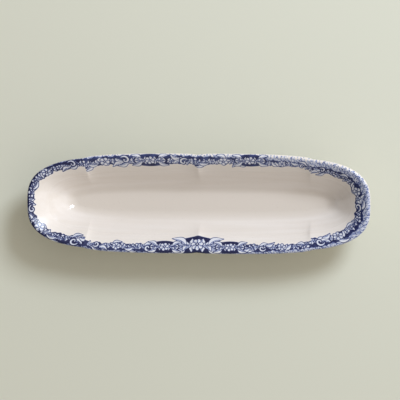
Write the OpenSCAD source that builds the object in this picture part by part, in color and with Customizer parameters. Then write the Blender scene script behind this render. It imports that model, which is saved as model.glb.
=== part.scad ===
// Long olive dish in glazed earthenware: a six-lobed oval boat on a foot ring,
// with a printed border laid round the rim in four lengths.
// Millimetres, Z up, origin on the table under the middle of the dish, X along the dish.
//
// Every piece is a section swept round one set of plan stations. A section point is [inset, height]:
// the inset is measured inwards in plan from the edge of the rim, the height up from the table.

/* [Plan] */
// Length over the rim, end to end
dish_length = 240; // [210:1:300]
// Width of the plan oval, across the lobes
dish_width = 69.5; // [66:0.5:88]
// How square the plan oval is where it turns into the ends (2 is an ellipse)
end_squareness = 3.8; // [2.4:0.1:4.4]
// How square the plan oval is where it turns into the long sides (2 is an ellipse)
side_squareness = 3; // [2.2:0.1:3.8]
// How many times longer the slope down to the floor is at the ends than along the sides
end_stretch = 1.12; // [1:0.02:1.4]
// Length of each end lobe along the dish, from the end of the rim to the outer cusps
end_lobe = 39; // [36:1:60]
// How far in the ridge under each cusp stands from the side
cusp_depth = 1.4; // [0:0.1:2.6]
// How narrow that ridge is
cusp_tightness = 7; // [1:0.25:8]
// How fast that ridge dies away down the side
cusp_fade = 2; // [0.5:0.1:3]
// How much of that ridge is left as a notch in the edge of the rim, from 0 for a plain edge
cusp_notch = 0.3; // [0:0.05:1]

/* [Section] */
// Depth of the well, from the top of the rim to the glazed floor
well_depth = 22.5; // [18:0.5:28]
// Thickness of the clay in the wall and the floor
wall_thickness = 4; // [3:0.1:5]
// Thickness of the clay at the lip
lip_thickness = 2.6; // [2:0.1:3.2]
// Plan width of the sloping side, from the edge of the rim to the flat floor
side_reach = 29; // [27.5:0.5:30.5]
// Plan reach of the flared rim's curve
rim_reach = 12.5; // [9:0.5:15]
// Fall of the flared rim's curve over that reach
rim_fall = 7.5; // [5:0.25:10]
// Plan reach of the rounded corner between the side and the floor
corner_reach = 9; // [6:0.5:12]

/* [Foot] */
// Height of the foot ring below the flat underside
foot_height = 3; // [2:0.1:5]
// Width of the foot ring where it is luted to the body
foot_width = 4.6; // [4.2:0.1:5.6]
// Plan distance from the edge of the rim in to the foot ring
foot_inset = 22.5; // [20:0.5:24]
// How much each side of the foot ring leans in towards the standing edge
foot_lean = 0.7; // [0.2:0.1:0.9]
// Rounding of the standing edge
foot_round = 0.6; // [0.3:0.1:0.9]

/* [Glaze and print] */
// Thickness of the coat of glaze
glaze_thickness = 0.25; // [0.2:0.05:0.4]
// Height of the standing edge that is wiped bare of glaze
bare_height = 1.2; // [1:0.1:1.6]
// Thickness of a printed length, sunk flush in the glaze
print_thickness = 0.1; // [0.05:0.01:0.15]
// Plan width of the printed border, from the edge of the rim inwards
print_width = 12; // [9:0.5:15]

/* [Hidden] */

biscuit_colour = "#e9ddcd";
glaze_colour = "#e8e0d8";
print_colour = "#5b6a9c";

// Stations along one side lobe, and along half of an end lobe
lobe_steps = 10;
// Section steps across the print from the lip, and on down the unprinted side
print_steps = 3;
side_steps = 4;
// Samples of the side's curve that its inset is looked up in
curve_samples = 60;
// Plan width of the level strip where the side runs out into the floor and the underside
level_strip = 1.5;
// How far the outer ridges follow the ends in, from 0 for straight across to 1 for towards the middle
ridge_lean = 0.2;
// How much closer the stations stand at the cusps, from 0 for evenly apart
station_gather = 0.5;

half_length = dish_length / 2;
half_width = dish_width / 2;
underside = foot_height;
clay_floor = underside + wall_thickness;
glaze_floor = clay_floor + glaze_thickness;
rim_top = glaze_floor + well_depth;

// Plan stations

// The stations stand round the rim in four quarters: right end, far side, left end, near side.
// Each quarter runs from one outer cusp to the next, so its share goes from -1 to 1.
quarter_steps = 2 * lobe_steps;
station_count = 4 * quarter_steps;
function quarter_of(i) = floor(i / quarter_steps) % 4;
function is_end(i) = quarter_of(i) % 2 == 0;

// The stations gather at the cusps, which are at both ends of a quarter and in the middle of a side
function share_of(i) =
    let (share = (i % quarter_steps) / lobe_steps - 1)
    share + station_gather * (is_end(i) ? sin(180 * share) / PI : -sin(360 * share) / (2 * PI));

// A power that keeps the sign of its base
function signed_pow(base, power) = sign(base) * pow(abs(base), power);

// Half the plan oval's length and width at an inset
function oval(inset) = [half_length - end_stretch * inset, half_width - inset];

// Superellipse angle of the outer cusps at an inset: they run down the side nearly square to the rim
function cusp_x(inset) = (half_length - end_lobe) * (1 - ridge_lean * (1 - oval(inset)[0] / half_length));
function cusp_angle(inset) = acos(pow(cusp_x(inset) / oval(inset)[0], end_squareness / 2));

// Superellipse angle of a station at an inset; the powers make equal shares equally long on the rim
function end_angle(share, cusp) = cusp * signed_pow(share, side_squareness / 2);
function side_angle(share, cusp) = 90 - sign(-share) * (90 - cusp) * pow(abs(share), end_squareness / 2);
function angle_of(i, inset) = (quarter_of(i) < 2 ? 0 : 180)
    + (is_end(i) ? end_angle(share_of(i), cusp_angle(inset)) : side_angle(share_of(i), cusp_angle(inset)));

// How deep in a cusp a station lies, from 0 to 1, and how much of that shows at a height:
// nothing at the floor, all of it below the rim, and the notch alone at the edge
function cusp_gap(i) = is_end(i) ? cos(90 * share_of(i)) : sin(180 * abs(share_of(i)));
function cusp_of(i) = pow(1 - cusp_gap(i), cusp_tightness);
function cusp_left(height) =
    let (up = min(1, max(0, height - glaze_floor) / well_depth))
    sin((180 - asin(cusp_notch)) * pow(up, cusp_fade));

// A section point carried to a station
function placed(point, i) =
    let (
        angle = angle_of(i, point[0]),
        half = oval(point[0] + cusp_depth * cusp_of(i) * cusp_left(point[1]))
    )
    [
        half[0] * signed_pow(cos(angle), 2 / end_squareness),
        half[1] * signed_pow(sin(angle), 2 / side_squareness),
        point[1]
    ];
function ring(point, first, last) = [for (i = [first : last]) placed(point, i)];

// Sweeps

// True if the first of two section points lies further out, or lower where neither does.
// Each quad is split by this rule, so that two pieces that touch are split alike.
function lies_outside(p, q) = p[0] == q[0] ? p[1] < q[1] : p[0] < q[0];

function quads(path, columns, path_closes, columns_close) = [
    for (k = [0 : len(path) - (path_closes ? 1 : 2)], i = [0 : columns - (columns_close ? 1 : 2)])
        let (
            m = (k + 1) % len(path),
            j = (i + 1) % columns,
            a = k * columns + i,
            b = k * columns + j,
            c = m * columns + i,
            d = m * columns + j
        )
        each lies_outside(path[k], path[m]) ? [[a, b, d], [a, d, c]] : [[a, b, c], [b, d, c]]
];

// A section path from over the floor, round the edge and back under it, closed by two flat caps
module bowl(path) {
    n = station_count;
    top = [for (i = [n - 1 : -1 : 0]) i];
    bottom = [for (i = [0 : n - 1]) (len(path) - 1) * n + i];
    points = [for (p = path) each ring(p, 0, n - 1)];
    polyhedron(points, concat(quads(path, n, false, true), [top, bottom]));
}

// A closed section carried all the way round
module hoop(section) {
    n = station_count;
    polyhedron([for (p = section) each ring(p, 0, n - 1)], quads(section, n, true, true));
}

// A strip between two paths of as many points, carried from one station to another
module strip(top, bed, first, last) {
    n = last - first + 1;
    m = len(top);
    section = concat(top, reversed(bed));
    start = [
        for (k = [0 : m - 2])
            let (a = k * n, b = a + n, c = (2 * m - 2 - k) * n, d = c + n)
            each [[a, b, d], [b, c, d]]
    ];
    end = [for (f = start) [f[0] + n - 1, f[2] + n - 1, f[1] + n - 1]];
    points = [for (p = section) each ring(p, first, last)];
    polyhedron(points, concat(quads(section, n, true, false), start, end));
}

// Sections

function reversed(list) = [for (i = [len(list) - 1 : -1 : 0]) list[i]];
function slice(list, first, last) = [for (i = [first : last]) list[i]];
function between(p, q, share) = p + (q - p) * share;

// The side to the right of a step along a section, which is the open side
function open_side(step) = [step[1], -step[0]] / norm(step);

// A section path laid over with a coat of even thickness
function coated(path, thickness) = [
    for (k = [0 : len(path) - 1])
        let (
            last = len(path) - 1,
            before = open_side(path[max(k, 1)] - path[max(k, 1) - 1]),
            after = open_side(path[min(k, last - 1) + 1] - path[min(k, last - 1)]),
            both = before + after
        )
        path[k] + both * 2 * thickness / (both * both)
];

// The lip is half a circle about this centre, square to the slope of the rim
lip_radius = lip_thickness / 2;
lip_centre = [glaze_thickness + lip_radius, rim_top - glaze_thickness - lip_radius];
rim_slope = atan2(rim_fall, rim_reach);
function lip_point(turn) = lip_centre + lip_radius * [cos(turn), sin(turn)];
lip_start = lip_point(90 - rim_slope);
// Turns round the lip that carry a ring: its top, its outermost edge and its end among them
lip_turns = [90, 135, 180, 270 - rim_slope];
lip_edge = search(180, lip_turns)[0];

// The inside of the clay, from the lip at 0 to the floor at 1: one cubic curve
side_curve = [
    lip_start,
    lip_start + [rim_reach, -rim_fall],
    [side_reach - corner_reach, clay_floor],
    [side_reach, clay_floor]
];
function cubic(p, t) = pow(1 - t, 3) * p[0] + 3 * pow(1 - t, 2) * t * p[1]
    + 3 * (1 - t) * t * t * p[2] + pow(t, 3) * p[3];
function cubic_step(p, t) = pow(1 - t, 2) * (p[1] - p[0]) + 2 * (1 - t) * t * (p[2] - p[1])
    + t * t * (p[3] - p[2]);

// The outside of the clay follows the inside, and thickens from the lip to the middle of the side
function clay_at(t) = lip_thickness + (wall_thickness - lip_thickness) * min(1, 2 * t);
function inside(t) = cubic(side_curve, t);
function outside(t) = inside(t) - clay_at(t) * open_side(-cubic_step(side_curve, t));

// Shares of the curve that carry a ring: the print ends on one of them
samples = [for (i = [0 : curve_samples]) i / curve_samples];
print_end = lookup(print_width, [for (t = samples) [inside(t)[0], t]]);
shares = concat(
    [for (i = [0 : print_steps]) print_end * i / print_steps],
    [for (i = [1 : side_steps]) print_end + (1 - print_end) * i / side_steps]
);

// The foot ring sits under the clay between two points of its outside
outside_curve = [for (t = samples) outside(t)];
function outside_at(inset) = [inset, lookup(inset, outside_curve)];
foot_out = outside_at(foot_inset);
foot_in = outside_at(foot_inset + foot_width);
foot_out_toe = [foot_inset + foot_lean, foot_round];
foot_in_toe = [foot_inset + foot_width - foot_lean, foot_round];

floor_level = [side_reach + level_strip, clay_floor];
underside_level = [max(side_reach, foot_in[0]) + level_strip, underside];

inside_path = concat([floor_level], [for (t = reversed(shares)) inside(t)]);
lip_path = [for (turn = lip_turns) lip_point(turn)];
outside_path = [
    for (t = slice(shares, 1, len(shares) - 1)) if (outside(t)[0] < foot_inset - level_strip / 2) outside(t)
];
under_path = [for (t = shares) if (outside(t)[0] > foot_in[0] + level_strip / 2) outside(t)];

body_path = concat(inside_path, lip_path, outside_path, [foot_out, foot_in], under_path, [underside_level]);
foot_section = [
    foot_in,
    foot_out,
    foot_out_toe,
    [foot_out_toe[0] + foot_round, 0],
    [foot_in_toe[0] - foot_round, 0],
    foot_in_toe
];

// The glaze runs from the floor over the lip and down the outside to the wiped edge of the foot
function bare_line(top, toe) = between(toe, top, (bare_height - toe[1]) / (top[1] - toe[1]));
glazed_path = concat(inside_path, lip_path, outside_path, [foot_out, bare_line(foot_out, foot_out_toe)]);
based_path = concat([bare_line(foot_in, foot_in_toe), foot_in], under_path, [underside_level]);

// Points of the glazed path at the print's inner edge, and at the outermost edge of the lip
print_first = side_steps + 1;
print_last = print_first + print_steps + 1 + lip_edge;
glaze_last = len(glazed_path) - 1;

glaze_top = coated(glazed_path, glaze_thickness);
glaze_under_print = coated(glazed_path, glaze_thickness - print_thickness);
print_top = slice(glaze_top, print_first, print_last);
print_bed = slice(glaze_under_print, print_first, print_last);

// Pieces

// Pressed clay: the boat itself, with its flared rim, lobed side and level floor
module dish_body() {
    color(biscuit_colour) bowl(body_path);
}

// Ring of clay luted under the body, which the dish stands on
module foot_ring() {
    color(biscuit_colour) hoop(foot_section);
}

// Coat of glaze over the inside, the lip and the outside, with a shallow bed for the print
module glaze_coat() {
    top = concat(
        slice(glaze_top, 0, print_first),
        print_bed,
        slice(glaze_top, print_last, glaze_last)
    );
    color(glaze_colour) bowl(concat(top, reversed(glazed_path)));
}

// Coat of glaze on the underside, inside the foot ring
module base_glaze() {
    color(glaze_colour) bowl(concat(reversed(based_path), coated(based_path, glaze_thickness)));
}

// One printed length of the border, laid along a quarter of the stations
module border_print(quarter) {
    first = quarter * quarter_steps;
    color(print_colour) strip(print_top, print_bed, first, first + quarter_steps);
}

dish_body();
foot_ring();
glaze_coat();
base_glaze();
border_print(0);  // right_end_print
border_print(1);  // far_side_print
border_print(2);  // left_end_print
border_print(3);  // near_side_print
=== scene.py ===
import math

import bpy
import numpy as np
from mathutils import Matrix, Vector


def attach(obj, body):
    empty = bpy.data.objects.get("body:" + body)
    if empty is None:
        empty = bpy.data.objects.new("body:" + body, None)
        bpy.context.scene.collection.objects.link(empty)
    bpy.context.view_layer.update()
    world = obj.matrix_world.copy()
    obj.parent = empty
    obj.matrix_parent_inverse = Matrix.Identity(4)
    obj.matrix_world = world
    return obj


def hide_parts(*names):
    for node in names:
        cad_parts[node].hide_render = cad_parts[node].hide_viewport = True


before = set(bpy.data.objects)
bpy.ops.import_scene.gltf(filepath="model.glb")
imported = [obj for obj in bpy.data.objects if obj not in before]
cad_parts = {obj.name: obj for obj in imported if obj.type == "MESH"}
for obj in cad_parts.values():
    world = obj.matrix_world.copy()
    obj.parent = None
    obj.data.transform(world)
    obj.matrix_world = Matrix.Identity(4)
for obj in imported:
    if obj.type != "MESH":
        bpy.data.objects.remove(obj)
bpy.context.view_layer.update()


# Dish body
# The clay boat, pressed in a mould and fired to biscuit: a flared rim on a six-lobed side, and a
# level floor. The glaze and the foot ring cover it all over.

mm = 0.001
half_length = 120 * mm
half_width = 34.75 * mm
end_squareness = 3.8
side_squareness = 3.0
end_stretch = 1.12
end_lobe = 39 * mm
# A ridge's depth before its crest is softened, which takes it down to 1.4 mm.
cusp_depth = 1.7 * mm
cusp_tightness = 7.0
cusp_softness = 0.03
cusp_fade = 2.0
cusp_notch = 0.3
ridge_lean = 0.2
gather = 0.5

foot_height = 3 * mm
wall_thickness = 4 * mm
lip_thickness = 2.6 * mm
glaze_thickness = 0.25 * mm
side_reach = 29 * mm
rim_reach = 12.5 * mm
rim_fall = 7.5 * mm
corner_reach = 9 * mm
foot_inset = 22.5 * mm
foot_width = 4.6 * mm
level_strip = 1.5 * mm
clay_floor = foot_height + wall_thickness
glaze_floor = clay_floor + glaze_thickness
well_depth = 22.5 * mm
rim_top = glaze_floor + well_depth


def signed_power(base, power):
    """A power that keeps the sign of its base."""
    return np.sign(base) * np.abs(base) ** power


def all_round(steps):
    """Columns round the whole rim: the quarter that each stands on, and its share of the way along
    it, -1 to 1. The quarters are the right end, the far side, the left end and the near side, each
    from outer cusp to outer cusp. The columns gather at the cusps, at both ends of a quarter and in
    the middle of a side."""
    share = np.linspace(-1, 1, steps + 1)[:-1]
    end_share = share + gather * np.sin(np.pi * share) / np.pi
    side_share = share - gather * np.sin(2 * np.pi * share) / (2 * np.pi)
    return np.repeat(np.arange(4), steps), np.tile(np.concatenate([end_share, side_share]), 2)


def carried(section, columns):
    """A section, rows of (inset from the rim's edge, height), carried to every column.
    In plan each row is a superellipse |x/a|^p + |y/b|^q = 1 whose half axes shrink with the inset.
    Its angle at a column is set so that the columns stay evenly apart. Near a cusp the inset grows
    by the depth of the ridge there, which falls off along the rim and goes as a sine up the side:
    nothing at the floor, all of it below the rim, and a shallow notch at the edge."""
    quarter, share = columns
    inset, height = section[:, :1], section[:, 1:]
    half_x = half_length - end_stretch * inset
    cusp_x = (half_length - end_lobe) * (1 - ridge_lean * (1 - half_x / half_length))
    cusp_angle = np.arccos((cusp_x / half_x) ** (end_squareness / 2))
    at_end = quarter % 2 == 0
    end_angle = cusp_angle * signed_power(share, side_squareness / 2)
    side_angle = np.pi / 2 + (np.pi / 2 - cusp_angle) * signed_power(share, end_squareness / 2)
    angle = np.where(at_end, end_angle, side_angle) + np.where(quarter < 2, 0, np.pi)
    away = np.where(at_end, np.cos(np.pi / 2 * share), np.sin(np.pi * np.abs(share)))
    cusp = np.clip(1 - np.sqrt(away**2 + cusp_softness**2), 0, 1) ** cusp_tightness
    up = np.clip((height - glaze_floor) / well_depth, 0, 1)
    shown = np.sin((np.pi - math.asin(cusp_notch)) * up**cusp_fade)
    dip = cusp_depth * cusp * shown
    x = (half_x - end_stretch * dip) * signed_power(np.cos(angle), 2 / end_squareness)
    y = (half_width - inset - dip) * signed_power(np.sin(angle), 2 / side_squareness)
    return np.stack(np.broadcast_arrays(x, y, height + 0 * x), axis=-1)


def open_side(step):
    """Unit vectors to the right of steps along a section, which is the open side."""
    return np.stack([step[:, 1], -step[:, 0]], axis=1) / np.linalg.norm(step, axis=1, keepdims=True)


lip_radius = lip_thickness / 2
lip_centre = np.array([glaze_thickness + lip_radius, rim_top - glaze_thickness - lip_radius])
rim_slope = math.atan2(rim_fall, rim_reach)
lip_first = math.pi / 2 - rim_slope
lip_last = lip_first + math.pi


def lip(turn):
    """The lip: half a circle about its centre, square to the slope of the rim."""
    return lip_centre + lip_radius * np.stack([np.cos(turn), np.sin(turn)], axis=1)


lip_start = lip(np.array([lip_first]))[0]
side_curve = np.array(
    [
        lip_start,
        lip_start + [rim_reach, -rim_fall],
        [side_reach - corner_reach, clay_floor],
        [side_reach, clay_floor],
    ]
)


def inside(t):
    """The inside of the clay, from the lip at 0 to the floor at 1: a cubic curve on four points."""
    t = t[:, None]
    p = side_curve
    return (1 - t) ** 3 * p[0] + 3 * (1 - t) ** 2 * t * p[1] + 3 * (1 - t) * t**2 * p[2] + t**3 * p[3]


def outside(t):
    """The outside of the clay: the inside moved square to itself by the wall's thickness, which
    grows from the lip to half way down."""
    p = side_curve
    u = t[:, None]
    step = (1 - u) ** 2 * (p[1] - p[0]) + 2 * (1 - u) * u * (p[2] - p[1]) + u**2 * (p[3] - p[2])
    down = np.clip(2 * u, 0, 1)
    clay = lip_thickness + (wall_thickness - lip_thickness) * down * (2 - down)
    return inside(t) + clay * open_side(step)


curve_shares = np.linspace(0, 1, 400)


def outside_at(inset):
    """Share of the outside curve at an inset, and the point there, read between points on it."""
    points = outside(curve_shares)
    share = np.interp(inset, points[:, 0], curve_shares)
    return share, np.array([inset, np.interp(inset, points[:, 0], points[:, 1])])


foot_share, foot_out = outside_at(foot_inset)
foot_in = outside_at(foot_inset + foot_width)[1]
floor_level = np.array([[side_reach + level_strip, clay_floor]])
underside_level = np.array([[max(side_reach, foot_in[0]) + level_strip, foot_height]])


def wall_faces(rows, columns, rows_close, columns_close):
    """Quads of a grid of rows and columns, seen from the open side."""
    k = np.arange(rows if rows_close else rows - 1)[:, None]
    i = np.arange(columns if columns_close else columns - 1)[None, :]
    k_next, i_next = (k + 1) % rows, (i + 1) % columns
    corners = np.broadcast_arrays(
        k * columns + i, k_next * columns + i, k_next * columns + i_next, k * columns + i_next
    )
    return np.stack(corners, axis=-1).reshape(-1, 4).tolist()


def flat_caps(rows, columns):
    """The two flat faces that close a bowl: one over its first row, one under its last."""
    first = list(range(columns))
    last = [(rows - 1) * columns + i for i in range(columns - 1, -1, -1)]
    return [first, last]


sharp_edge = math.radians(50)


def piece(name, grid, faces, material, node):
    """A mesh object from a grid of points, which stands for a CAD node and rides on the dish."""
    mesh = bpy.data.meshes.new(name)
    mesh.from_pydata(grid.reshape(-1, 3).tolist(), [], faces)
    mesh.shade_smooth()
    mesh.set_sharp_from_angle(angle=sharp_edge)
    mesh.materials.append(material)
    made = bpy.data.objects.new(name, mesh)
    bpy.context.scene.collection.objects.link(made)
    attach(made, "root")
    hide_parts(node)
    return made


def linear(colour):
    """An sRGB hex colour as linear red, green, blue and alpha."""
    share = np.array([int(colour[i : i + 2], 16) for i in (1, 3, 5)]) / 255
    curve = np.where(share <= 0.04045, share / 12.92, ((share + 0.055) / 1.055) ** 2.4)
    return (*curve.tolist(), 1.0)


def add(tree, kind, inputs, **settings):
    """Adds a node: settings go on the node, inputs on its sockets, and a socket is linked."""
    made = tree.nodes.new(kind)
    for key, value in settings.items():
        setattr(made, key, value)
    for key, value in inputs.items():
        if isinstance(value, bpy.types.NodeSocket):
            tree.links.new(value, made.inputs[key])
        else:
            made.inputs[key].default_value = value
    return made


def new_material(name):
    """An empty material: its node tree and the socket that its shader goes to."""
    material = bpy.data.materials.new(name)
    material.use_nodes = True
    tree = material.node_tree
    tree.nodes.clear()
    output = tree.nodes.new("ShaderNodeOutputMaterial")
    return material, tree, output.inputs["Surface"]


def biscuit():
    """Biscuit earthenware: fired unglazed clay, cream, matt and a little gritty to the eye."""
    grit = 0.4 * mm
    material, tree, surface = new_material("biscuit_earthenware")
    place = add(tree, "ShaderNodeTexCoord", {})
    grain = add(
        tree,
        "ShaderNodeTexNoise",
        {"Vector": place.outputs["Object"], "Scale": 1 / grit, "Detail": 3},
    )
    tint = add(
        tree,
        "ShaderNodeMix",
        {0: grain.outputs["Fac"], 6: linear("#d9c8b2"), 7: linear("#efe4d4")},
        data_type="RGBA",
    )
    relief = add(
        tree,
        "ShaderNodeBump",
        {"Strength": 0.4, "Distance": 0.05 * mm, "Height": grain.outputs["Fac"]},
    )
    shader = add(
        tree,
        "ShaderNodeBsdfPrincipled",
        {"Base Color": tint.outputs[2], "Roughness": 0.85, "Normal": relief.outputs["Normal"]},
    )
    tree.links.new(shader.outputs["BSDF"], surface)
    return material


biscuit_clay = biscuit()
body_columns = 60
side_rows = 40
lip_rows = 13
outer_rows = 30
body_path = np.concatenate(
    [
        floor_level,
        inside(np.linspace(1, 0, side_rows)),
        lip(np.linspace(lip_first, lip_last, lip_rows))[1:],
        outside(np.linspace(0, foot_share, outer_rows))[1:],
        [foot_in],
        underside_level,
    ]
)
body_grid = carried(body_path, all_round(body_columns))
body_faces = wall_faces(*body_grid.shape[:2], False, True) + flat_caps(*body_grid.shape[:2])
piece("clay_body", body_grid, body_faces, biscuit_clay, "dish_body")


# Foot ring
# A ring of the same clay luted under the body, which the dish stands on. Its sides lean in to the
# standing edge, which is rounded by the sponge and wiped bare of glaze before the firing.

foot_lean = 0.7 * mm
foot_round = 0.6 * mm
foot_columns = 120
toe_rows = 7
toe_turns = np.linspace(0, np.pi / 2, toe_rows)
toe_out = np.array([foot_inset + foot_lean + foot_round, foot_round])
toe_in = np.array([foot_inset + foot_width - foot_lean - foot_round, foot_round])
foot_section = np.concatenate(
    [
        [foot_in, foot_out],
        toe_out - foot_round * np.stack([np.cos(toe_turns), np.sin(toe_turns)], axis=1),
        toe_in + foot_round * np.stack([np.sin(toe_turns), -np.cos(toe_turns)], axis=1),
    ]
)
foot_grid = carried(foot_section, all_round(foot_columns))
foot_faces = wall_faces(*foot_grid.shape[:2], True, True)
piece("foot_ring_clay", foot_grid, foot_faces, biscuit_clay, "foot_ring")


# Glaze coat
# One dipped coat of clear warm-white glaze, from the floor over the lip and down to the wiped edge
# of the foot. It has a shallow bed under the border, where the print lies fired into it.

print_width = 12 * mm
print_thickness = 0.1 * mm
bare_height = 1.2 * mm
run_out = 0.5 * mm
foot_fillet = 0.9 * mm
glaze_roughness = 0.1
glaze_columns = 130
floor_rows = 30
bed_rows = 20
glaze_lip_rows = 7
glaze_outer_rows = 26
wiped_rows = 6
# How much of the foot's side, up from the bare edge, gets the close rows on which the coat runs out.
wiped_share = 0.3


def coated(path, thickness):
    """A section path laid over with a coat: each point moves out along the mean of the open sides
    of the two steps that it lies between."""
    sides = open_side(np.diff(path, axis=0))
    both = np.concatenate([sides[:1], sides]) + np.concatenate([sides, sides[-1:]])
    return path + both * 2 * np.reshape(thickness, (-1, 1)) / (both**2).sum(axis=1, keepdims=True)


def rounded(before, corner, after, radius, steps=7):
    """A corner of a section as a smooth turn: a quadratic curve from a radius before it to a radius
    after it."""
    first = corner + radius * (before - corner) / np.linalg.norm(before - corner)
    last = corner + radius * (after - corner) / np.linalg.norm(after - corner)
    t = np.linspace(0, 1, steps)[:, None]
    return (1 - t) ** 2 * first + 2 * (1 - t) * t * corner + t**2 * last


print_end = float(np.interp(print_width, inside(curve_shares)[:, 0], curve_shares))


def print_path(rows):
    """The clay under the border: from its inner edge up to the lip and over to the outermost edge.
    A fifth of the rows are on the lip."""
    on_lip = rows // 5
    rim = inside(np.linspace(print_end, 0, rows - on_lip))
    over = lip(np.linspace(lip_first, np.pi, on_lip + 1))[1:]
    return np.concatenate([rim, over])


foot_toe = np.array([foot_inset + foot_lean, foot_round])
bare_line = foot_toe + (foot_out - foot_toe) * (bare_height - foot_round) / (foot_out[1] - foot_round)

below_print = np.concatenate([floor_level, inside(np.linspace(1, print_end, floor_rows))])
under_print = print_path(bed_rows)
outer_side = outside(np.linspace(0, foot_share, glaze_outer_rows)[1:-1])
outer_side = outer_side[outer_side[:, 0] < foot_inset - foot_fillet]
foot_side = np.concatenate(
    [
        rounded(outer_side[-1], foot_out, bare_line, foot_fillet),
        bare_line + (foot_out - bare_line) * np.linspace(wiped_share, 0, wiped_rows)[:, None],
    ]
)
lip_outside = lip(np.linspace(np.pi, lip_last, glaze_lip_rows))[1:]
past_print = np.concatenate([lip_outside, outer_side, foot_side])
glazed_path = np.concatenate([below_print, under_print[1:], past_print])
print_first = len(below_print) - 1
print_last = print_first + len(under_print) - 1

to_end = np.linalg.norm(glazed_path - glazed_path[-1], axis=1)
coat = glaze_thickness * np.sqrt(np.clip(to_end / run_out, 0, 1))
glaze_top = coated(glazed_path, coat)
glaze_bed = coated(glazed_path, glaze_thickness - print_thickness)
glaze_section = np.concatenate(
    [
        glaze_top[: print_first + 1],
        glaze_bed[print_first : print_last + 1],
        glaze_top[print_last:],
        glazed_path[-2::-1],
    ]
)


def glaze_tint(tree):
    """Colour of clear glaze on cream clay: warm white, drawn out in faint streaks along the dish by
    the pressing, with a few fine specks from the clay. It is a shade deeper on the floor of the well
    and on all that lies lower, round the foot, which is painted shade for the lesser light there."""
    streak = (1 / (70 * mm), 1 / (5 * mm), 1 / (4 * mm))
    speck = 0.7 * mm
    shade_rise = 4 * mm
    place = add(tree, "ShaderNodeTexCoord", {})
    drawn = add(tree, "ShaderNodeMapping", {"Vector": place.outputs["Object"], "Scale": streak})
    drift = add(
        tree,
        "ShaderNodeTexNoise",
        {"Vector": drawn.outputs["Vector"], "Scale": 1, "Detail": 3},
    )
    tint = add(
        tree,
        "ShaderNodeMix",
        {0: drift.outputs["Fac"], 6: linear("#d2c9c0"), 7: linear("#dfd9d5")},
        data_type="RGBA",
    )
    height = add(tree, "ShaderNodeSeparateXYZ", {"Vector": place.outputs["Object"]})
    # Painted shade: the floor of the well, and all that lies lower, are mixed towards a deeper tint.
    floor_shade = add(
        tree,
        "ShaderNodeMapRange",
        {
            "Value": height.outputs["Z"],
            "From Min": glaze_floor,
            "From Max": glaze_floor + shade_rise,
            "To Min": 1,
            "To Max": 0,
        },
        interpolation_type="SMOOTHSTEP",
    )
    floor_shaded = add(
        tree,
        "ShaderNodeMix",
        {0: floor_shade.outputs["Result"], 6: tint.outputs[2], 7: linear("#cdc4bb")},
        data_type="RGBA",
    )
    dots = add(
        tree,
        "ShaderNodeTexNoise",
        {"Vector": place.outputs["Object"], "Scale": 1 / speck, "Detail": 0},
    )
    few = add(
        tree,
        "ShaderNodeMapRange",
        {"Value": dots.outputs["Fac"], "From Min": 0.78, "From Max": 0.84, "To Max": 0.15},
    )
    specked = add(
        tree,
        "ShaderNodeMix",
        {0: few.outputs["Result"], 6: floor_shaded.outputs[2], 7: linear("#8a7666")},
        data_type="RGBA",
    )
    return specked.outputs[2]


def glaze_shader(tree, colour, roughness):
    """Fired glaze over a colour: smooth and glassy, with a faint ripple that breaks up highlights."""
    ripple = 7 * mm
    place = add(tree, "ShaderNodeTexCoord", {})
    wave = add(
        tree,
        "ShaderNodeTexNoise",
        {"Vector": place.outputs["Object"], "Scale": 1 / ripple, "Detail": 2},
    )
    relief = add(
        tree,
        "ShaderNodeBump",
        {"Strength": 0.35, "Distance": 0.12 * mm, "Height": wave.outputs["Fac"]},
    )
    return add(
        tree,
        "ShaderNodeBsdfPrincipled",
        {
            "Base Color": colour,
            "Roughness": roughness,
            "IOR": 1.5,
            "Normal": relief.outputs["Normal"],
        },
    )


def plain_glaze():
    """Clear glaze on cream clay."""
    material, tree, surface = new_material("clear_glaze_on_earthenware")
    shader = glaze_shader(tree, glaze_tint(tree), glaze_roughness)
    tree.links.new(shader.outputs["BSDF"], surface)
    return material


clear_glaze = plain_glaze()
glaze_grid = carried(glaze_section, all_round(glaze_columns))
glaze_faces = wall_faces(*glaze_grid.shape[:2], False, True) + flat_caps(*glaze_grid.shape[:2])
piece("glaze_over_dish", glaze_grid, glaze_faces, clear_glaze, "glaze_coat")


# Base glaze
# The same glaze on the underside, inside the foot ring. It is poured in with the dipping, and is cut
# off from the rest by the bare standing edge.

inner_toe = np.array([foot_inset + foot_width - foot_lean, foot_round])
inner_bare = inner_toe + (foot_in - inner_toe) * (bare_height - foot_round) / (foot_in[1] - foot_round)
base_wiped_share = 0.4
base_path = np.concatenate(
    [
        inner_bare + (foot_in - inner_bare) * np.linspace(0, base_wiped_share, wiped_rows)[:, None],
        rounded(inner_bare, foot_in, underside_level[0], foot_fillet),
        underside_level,
    ]
)
to_start = np.linalg.norm(base_path - base_path[0], axis=1)
base_coat = glaze_thickness * np.sqrt(np.clip(to_start / run_out, 0, 1))
base_section = np.concatenate([base_path[::-1], coated(base_path, base_coat)[1:]])
base_grid = carried(base_section, all_round(foot_columns))
base_faces = wall_faces(*base_grid.shape[:2], False, True) + flat_caps(*base_grid.shape[:2])
piece("glaze_under_base", base_grid, base_faces, clear_glaze, "base_glaze")


# Printed border
# Four cut lengths of transfer printed in cobalt blue, one to each end and each side. They are laid
# on with their ends together at the outer cusps, and fired into the glaze so that they lie flush.

print_rows = 100
print_roughness = 0.3
print_top = coated(print_path(print_rows), glaze_thickness)
print_bed = coated(print_path(bed_rows), glaze_thickness - print_thickness)
print_run = np.linalg.norm(np.diff(print_top[::-1], axis=0, prepend=print_top[-1:]), axis=1)
from_lip = np.cumsum(print_run)[::-1] / mm
# Lengths on the printed strip are in millimetres from here on, and ink goes from 0 to 1.
grain = 0.26
dark_ink = 1.0
pale_ink = 0.1


def soft(distance):
    """Cover of a shape: 1 inside, 0 outside, across an edge one grain wide."""
    return np.clip(0.5 - distance / grain, 0, 1)


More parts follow.
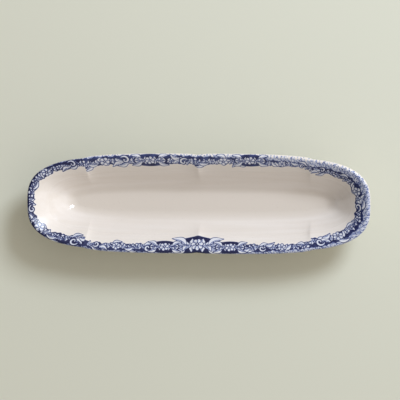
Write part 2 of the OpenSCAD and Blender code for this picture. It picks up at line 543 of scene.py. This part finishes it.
def laid(ink, cover, shade):
    """Ink with a shape laid over it."""
    return ink + cover * (shade - ink)


def turned(u, v, place, angle):
    """Coordinates along and across a motif that stands at a place on the strip, turned by an angle."""
    du, dv = u - place[0], v - place[1]
    c, s = np.cos(angle), np.sin(angle)
    return du * c + dv * s, dv * c - du * s


def leaf(ink, u, v, place, angle, length, width, bend=0.14, tone=0.4):
    """A leaf: its half width goes as the sine of the share of its length, and so does the bend of its
    midrib. One half is pale and the other is shaded with veins."""
    x, y = turned(u, v, place, angle)
    s = np.clip(x / length, 0, 1)
    y = y - bend * length * np.sin(np.pi * s)
    half = width / 2 * np.sin(np.pi * s**0.75)
    over = np.maximum(np.abs(x - length / 2) - length / 2, 0)
    edge = np.where(over > 0, np.hypot(over, np.abs(y)), np.abs(y) - half)
    vein_pitch = 1.3
    vein = np.abs((x - 0.9 * np.abs(y)) % vein_pitch - vein_pitch / 2) < 0.25
    shade = np.where(y * np.sign(bend) > -0.15 * width, pale_ink, 0.22 + tone * vein)
    rib = soft(np.abs(y + 0.15 * width * np.sign(bend)) - 0.12) * (s < 0.8)
    ink = laid(ink, soft(edge - 0.5), dark_ink)
    ink = laid(ink, soft(edge), shade)
    return laid(ink, rib * soft(edge + 0.1), 0.8)


def frond(ink, u, v, place, angle, size, hand=1, count=4):
    """A frond: leaves side by side along a stem, each longer and further turned than the last."""
    for s in np.linspace(0, 1, count):
        lean = angle + hand * (1.25 - 1.7 * s)
        stem = 0.5 * size * s
        root = (place[0] + stem * np.cos(angle), place[1] + stem * np.sin(angle))
        ink = leaf(ink, u, v, root, lean, size * (0.55 + 0.4 * s), size * 0.36, bend=-0.16 * hand)
    return ink


def blossom(ink, u, v, place, angle, radius, petals=6):
    """A blossom: the radius of its edge swells with the cosine of the angle, once for each petal,
    about a dark eye. Each petal is shaded on one half."""
    x, y = turned(u, v, place, angle)
    r, a = np.hypot(x, y), np.arctan2(y, x)
    lobe = np.abs(np.cos(petals * a / 2))
    edge = r - radius * (0.62 + 0.38 * lobe**0.7)
    shaded = np.sin(petals * a) > 0.5
    ink = laid(ink, soft(edge - 0.55), dark_ink)
    ink = laid(ink, soft(edge), pale_ink + 0.25 * shaded * (r < 0.8 * radius))
    ink = laid(ink, soft(r * lobe * 2 / petals - 0.2) * soft(edge + 0.1), 0.9)
    ink = laid(ink, soft(r - 0.3 * radius), dark_ink)
    return laid(ink, soft(r - 0.13 * radius), pale_ink)


def berry(ink, u, v, place, angle, radius):
    """A berry: a pale disc with a dark edge and a shaded lower half."""
    x, y = turned(u, v, place, angle)
    r = np.hypot(x, y)
    ink = laid(ink, soft(r - radius - 0.5), dark_ink)
    return laid(ink, soft(r - radius), np.where(x + y > 0.5 * radius, 0.45, pale_ink))


def curl(ink, u, v, place, angle, size, turns=0.95, hand=1):
    """A curling stem: a spiral that winds in towards its eye and ends in a bud."""
    x, y = turned(u, v, place, angle)
    y = y * hand
    edge = np.full(x.shape, 9.0)
    for s in np.linspace(0, 1, 44):
        a = -0.9 * np.pi + s * turns * 2 * np.pi
        r = size * (1.35 - 1.1 * s**0.8)
        width = size * (0.1 + 0.18 * np.sin(np.pi * s**0.7) + 0.12 * (s > 0.97))
        edge = np.minimum(edge, np.hypot(x - r * np.cos(a), y - r * np.sin(a)) - width)
    ink = laid(ink, soft(edge - 0.6), dark_ink)
    return laid(ink, soft(edge), pale_ink + 0.3 * (edge > -0.08 * size))


def border(quarter, u, v, half):
    """Ink, 0 to 1, on a strip of border, by the distance in mm along it from its middle and in from
    the lip. A ragged pale edge and a speckled outer zone, then a dark ground with curls, fronds and
    blossoms. The pale edge is the lip's bare glaze and in part a painted highlight: it is left widest
    on the right end and the far side, where the lip catches the light. The tables give how far in
    the ground, the outer zone and the pale edge reach, at even steps along the strip. Groups of motifs
    follow each other at an uneven pitch, and larger sprays lie over them on the sides, each given by
    its place along and in, and its size."""
    rng = np.random.default_rng(61 + quarter)
    row = u[0]
    marks = np.linspace(-1, 1, 7)
    wide = (
        (10.5, 11.5, 13.0, 13.5, 13.0, 12.0, 11.0),
        (10.5, 10.5, 11.0, 10.5, 11.0, 10.5, 10.0),
        (8.5, 8.0, 7.0, 6.2, 7.5, 9.5, 9.5),
        (8.0, 8.5, 10.0, 12.0, 10.0, 8.5, 8.5),
    )[quarter]
    hatch = (
        (3.0, 3.6, 4.8, 5.8, 6.5, 6.5, 6.2),
        (6.0, 5.2, 3.8, 2.6, 2.0, 2.0, 2.0),
        (1.8, 1.2, 0.8, 0.6, 0.8, 1.4, 2.0),
        (2.2, 2.2, 1.8, 1.6, 2.0, 3.0, 3.4),
    )[quarter]
    # Painted highlight in part: the bare lip is widest on the right end and the far side, where it
    # catches the light, and nil on the near side.
    bare = (
        (0.0, 0.0, 0.3, 0.7, 1.4, 2.2, 2.6),
        (2.6, 2.4, 2.1, 1.9, 1.9, 1.7, 0.9),
        (0.3, 0.0, 0.0, 0.0, 0.0, 0.0, 0.0),
        (0.0, 0.0, 0.0, 0.0, 0.0, 0.0, 0.0),
    )[quarter]

    def along(table, distance):
        """A table's value at a distance along the strip, straight between its steps."""
        return np.interp(distance / half, marks, table)

    def wave(height, pitch, shift=0.0):
        """A sine along the strip."""
        return height * np.sin(2 * np.pi * row / pitch + shift)

    outer = along(hatch, row) + wave(0.4, 7.3) + wave(0.25, 2.9)
    inner = along(wide, row) - 1.5 + wave(0.8, 9.7, quarter) + wave(0.4, 4.1)
    # The pale edge: bare lip, and in part a painted highlight along it.
    pale = along(bare, row) * (1 + wave(0.3, 2.3) + wave(0.2, 5.9))
    ink = np.zeros(v.shape)
    # The outer zone: slanting ticks and flecks, with a row of dots in the pale edge.
    wobble = 0.5 * np.sin(2.1 * u + 1.7 * np.sin(0.9 * v)) + 0.4 * np.sin(1.1 * v + 0.7 * u)
    tick = np.abs((u + 0.4 * v + wobble) % 1.9 - 0.95) < 0.4 + 0.2 * np.sin(1.3 * u + 2 * v)
    fleck = np.sin(2.7 * u + 1.5 * np.sin(2.2 * v)) * np.sin(2.9 * v + 0.8 * u) > 0.45
    ink = laid(ink, soft(v - outer) * soft(pale - v), 0.2 + 0.3 * tick + 0.35 * fleck)
    dot = np.hypot((u + 0.6 * np.sin(0.7 * u)) % 2.6 - 1.3, v - 1.4 - 0.4 * np.sin(1.9 * u)) - 0.35
    ink = laid(ink, soft(dot) * (pale > 1), 0.75)
    # The dark ground: fine lines along the strip.
    lines = np.abs((v + 0.3 * np.sin(u * 0.9)) % 0.9 - 0.45) < 0.14
    ink = laid(ink, soft(v - inner) * soft(outer - v), dark_ink - 0.25 * lines)

    def draw(motif, place, reach, *shape, **more):
        """Draws a motif on the columns that lie within its reach."""
        near = np.abs(row - place[0]) < reach
        ink[:, near] = motif(ink[:, near], u[:, near], v[:, near], place, *shape, **more)

    pitch = 15
    step = 0.7 + 0.5 * rng.uniform(0, 1, round(2 * half / pitch) + 1)
    places = np.cumsum(step) - step[0] / 2
    places = -half + 2 * half * places / (places[-1] + step[-1] / 2)
    for u0 in (places[1:] + places[:-1]) / 2:
        lo, hi = along(hatch, u0), along(wide, u0)
        draw(blossom, (u0, (lo + hi) / 2), 5, 0.4, 0.14 * (hi - lo) + 0.9, petals=5)
    for k, u0 in enumerate(places):
        lo, hi = along(hatch, u0), along(wide, u0)
        mid, span = (lo + hi) / 2, hi - lo
        side = 1 if (k + quarter) % 2 else -1
        j = rng.uniform(-1, 1, 8)
        grow = 0.55 + 0.065 * span
        far, near_in = mid + 0.26 * side * span, mid - 0.26 * side * span
        large, small = (7.0 * grow, 3.0 * grow), (6.4 * grow, 2.8 * grow)
        heading = 0.3 * j[1] + 0.25 * side
        draw(frond, (u0 - 6.0 + 0.8 * j[0], near_in), 13, heading, 7.4 * grow, hand=side)
        heading = np.pi + 0.3 * j[3] + 0.3 * side
        draw(leaf, (u0 + 6.4 + 0.8 * j[2], far), 12, heading, *large, bend=0.2 * side)
        if k % 3 == 0:
            heading = np.pi * (side < 0) + 0.4 * j[5]
            draw(curl, (u0, mid + 0.1 * side * span), 9, heading, 0.28 * span + 0.2, hand=side)
            heading = -0.35 * side + 0.2 * j[6]
            draw(leaf, (u0 + 2.6, near_in), 10, heading, *small, bend=0.18 * side)
        elif k % 3 == 1:
            heading = 0.5 * side + 0.2 * j[6]
            draw(leaf, (u0 - 1.0, near_in), 10, heading, *large, bend=-0.15 * side)
            heading = np.pi + 0.5 * side + 0.2 * j[7]
            draw(leaf, (u0 + 1.0, far), 10, heading, *small, bend=0.15 * side)
            draw(blossom, (u0 + 0.6 * j[4], mid), 7, j[1], 0.3 * span + 0.9, petals=5 + k % 2)
        else:
            draw(frond, (u0 + 5.0, near_in), 12, np.pi - 0.3 * side, 6.6 * grow, hand=-side)
            draw(berry, (u0 + 4.4, far), 4, 0.6, 0.9)
            draw(berry, (u0 + 6.2, mid + 0.1 * span), 4, 0.6, 0.8)

    sprays = (
        (),
        ((-37, 6.2, 9.0), (33, 6.2, 9.5)),
        (),
        ((0, 7.2, 14.0), (-23, 6.0, 8.5), (23, 6.0, 8.5)),
    )[quarter]
    for u0, v0, size in sprays:
        x, y = turned(u, v, (u0, v0), 0.0)
        reach = np.hypot(x / (1.25 * size), y / (0.4 * size + 1.6))
        ink = laid(ink, soft((reach - 1) * 5), dark_ink)
        for way, heading in ((-1, np.pi), (1, 0.0)):
            for edge in (-1, 1):
                root = (u0 + 1.8 * way, v0 + 0.9 * edge)
                draw(frond, root, 1.6 * size, heading, 0.85 * size, hand=-way * edge)
        draw(blossom, (u0, v0), 9, 0.3, 0.2 * size + 1.4, petals=7 if size > 10 else 6)
    uneven = np.sin(0.31 * u + quarter) * np.sin(0.47 * v + 0.2 * u) + np.sin(0.83 * u - 0.6 * v)
    weight = (1.15, 1.0, 1.6, 1.15)[quarter]
    return np.clip(weight * ink * (0.94 + 0.05 * uneven), 0, 1)


def cut_ends(rows, columns):
    """The two faces that close the cut ends of a strip."""
    start = np.arange(rows) * columns
    return [start.tolist(), (start[::-1] + columns - 1).tolist()]


def printed_glaze():
    """Cobalt blue printed in the glaze: the more ink, the darker, from the bare glaze to navy."""
    material, tree, surface = new_material("cobalt_print_in_glaze")
    ink = add(tree, "ShaderNodeAttribute", {}, attribute_name="ink")
    ramp = add(tree, "ShaderNodeValToRGB", {"Fac": ink.outputs["Fac"]})
    shades = {pale_ink: "#d1d2d9", 0.25: "#b5b9c8", 0.45: "#8b95b6", 0.7: "#425086", dark_ink: "#0b1340"}
    stops = ramp.color_ramp.elements
    while len(stops) < len(shades):
        stops.new(0.5)
    for stop, (position, colour) in zip(stops, shades.items()):
        stop.position = position
        stop.color = linear(colour)
    cover = add(tree, "ShaderNodeMapRange", {"Value": ink.outputs["Fac"], "From Max": pale_ink})
    inked = add(
        tree,
        "ShaderNodeMix",
        {0: cover.outputs["Result"], 6: glaze_tint(tree), 7: ramp.outputs["Color"]},
        data_type="RGBA",
    )
    shader = glaze_shader(tree, inked.outputs[2], print_roughness)
    tree.links.new(shader.outputs["BSDF"], surface)
    return material


cobalt_print = printed_glaze()
strip_steps = 760
strip_share = np.linspace(-1, 1, strip_steps)
strip_names = ("right_end", "far_side", "left_end", "near_side")
for quarter, where in enumerate(strip_names):
    columns = np.full(strip_steps, quarter), strip_share
    top = carried(print_top, columns)
    bed = carried(print_bed, columns)
    strip_grid = np.concatenate([top, bed[::-1]])
    strip_faces = wall_faces(*strip_grid.shape[:2], True, False) + cut_ends(*strip_grid.shape[:2])
    strip = piece(f"{where}_border", strip_grid, strip_faces, cobalt_print, f"{where}_print")
    ink = np.zeros(strip_grid.shape[:2])
    middle_row = top[len(top) // 2]
    middle_steps = np.linalg.norm(np.diff(middle_row, axis=0, prepend=middle_row[:1]), axis=1)
    run = np.cumsum(middle_steps) / mm
    half = run[-1] / 2
    u, v = np.meshgrid(run - half, from_lip)
    ink[: len(top)] = border(quarter, u, v, half)
    layer = strip.data.attributes.new("ink", "FLOAT", "POINT")
    layer.data.foreach_set("value", ink.ravel().astype(np.float32))


# Table and light
# A plain pale sage table top, one soft light beyond the right end and the far side, and light from
# the walls all round, which is strongest on the right.

reach = 3.0
wall_glow = 1.25
table = bpy.data.meshes.new("table_top")
corners = [(-reach, -reach, 0), (reach, -reach, 0), (reach, reach, 0), (-reach, reach, 0)]
table.from_pydata(corners, [], [(0, 1, 2, 3)])
table_top = bpy.data.objects.new("table_top", table)
bpy.context.scene.collection.objects.link(table_top)
sage, tree, surface = new_material("sage_paper")
paper = add(tree, "ShaderNodeBsdfPrincipled", {"Base Color": linear("#cacabc"), "Roughness": 0.9})
tree.links.new(paper.outputs["BSDF"], surface)
table.materials.append(sage)

world = bpy.data.worlds.new("studio_walls")
world.use_nodes = True
bpy.context.scene.world = world
walls = world.node_tree
look = add(walls, "ShaderNodeTexCoord", {})
toward = add(walls, "ShaderNodeSeparateXYZ", {"Vector": look.outputs["Generated"]})
glow = add(
    walls,
    "ShaderNodeMapRange",
    {"Value": toward.outputs["X"], "From Min": -1, "To Max": wall_glow},
)
sky = walls.nodes["Background"]
sky.inputs["Color"].default_value = (1.0, 0.94, 0.85, 1)
walls.links.new(glow.outputs["Result"], sky.inputs["Strength"])

key_place = np.array([0.808, 0.897, 1.05])
lamp = bpy.data.lights.new("soft_key", "AREA")
lamp.shape = "SQUARE"
lamp.size = 0.5
lamp.energy = 21.3
lamp.color = (0.81, 0.89, 1.0)
key = bpy.data.objects.new("soft_key", lamp)
key.location = key_place
key.rotation_mode = "QUATERNION"
key.rotation_quaternion = Vector(-key_place).to_track_quat("-Z", "Y")
bpy.context.scene.collection.objects.link(key)


# Camera
# Over the dish and a little to its right and far side, with the far side up in the picture. It leans
# by what sets the floor and the ridges in their places within the rim.

picture = 400
sensor = 36
distance = 1.5
pixels_per_metre = 1444
lean_right = math.radians(8)
lean_far = math.radians(3)
rim_middle = np.array([0, 0, 28.3 * mm])
rim_pixel = (197.0, 203.7)

lens = bpy.data.cameras.new("camera")
lens.sensor_width = sensor
lens.lens = sensor * pixels_per_metre * distance / picture
camera = bpy.data.objects.new("camera", lens)
bpy.context.scene.collection.objects.link(camera)
bpy.context.scene.camera = camera
to_camera = np.array([math.tan(lean_right), math.tan(lean_far), 1])
to_camera /= np.linalg.norm(to_camera)
right = np.cross([0, 1, 0], to_camera)
right /= np.linalg.norm(right)
up = np.cross(to_camera, right)
aside = (picture / 2 - rim_pixel[0]) / pixels_per_metre
above = (rim_pixel[1] - picture / 2) / pixels_per_metre
stand = rim_middle + distance * to_camera + aside * right + above * up
turn = np.eye(4)
turn[:3, :4] = np.stack([right, up, to_camera, stand], axis=1)
camera.matrix_world = Matrix(turn.tolist())

bpy.context.scene.view_settings.view_transform = "Standard"
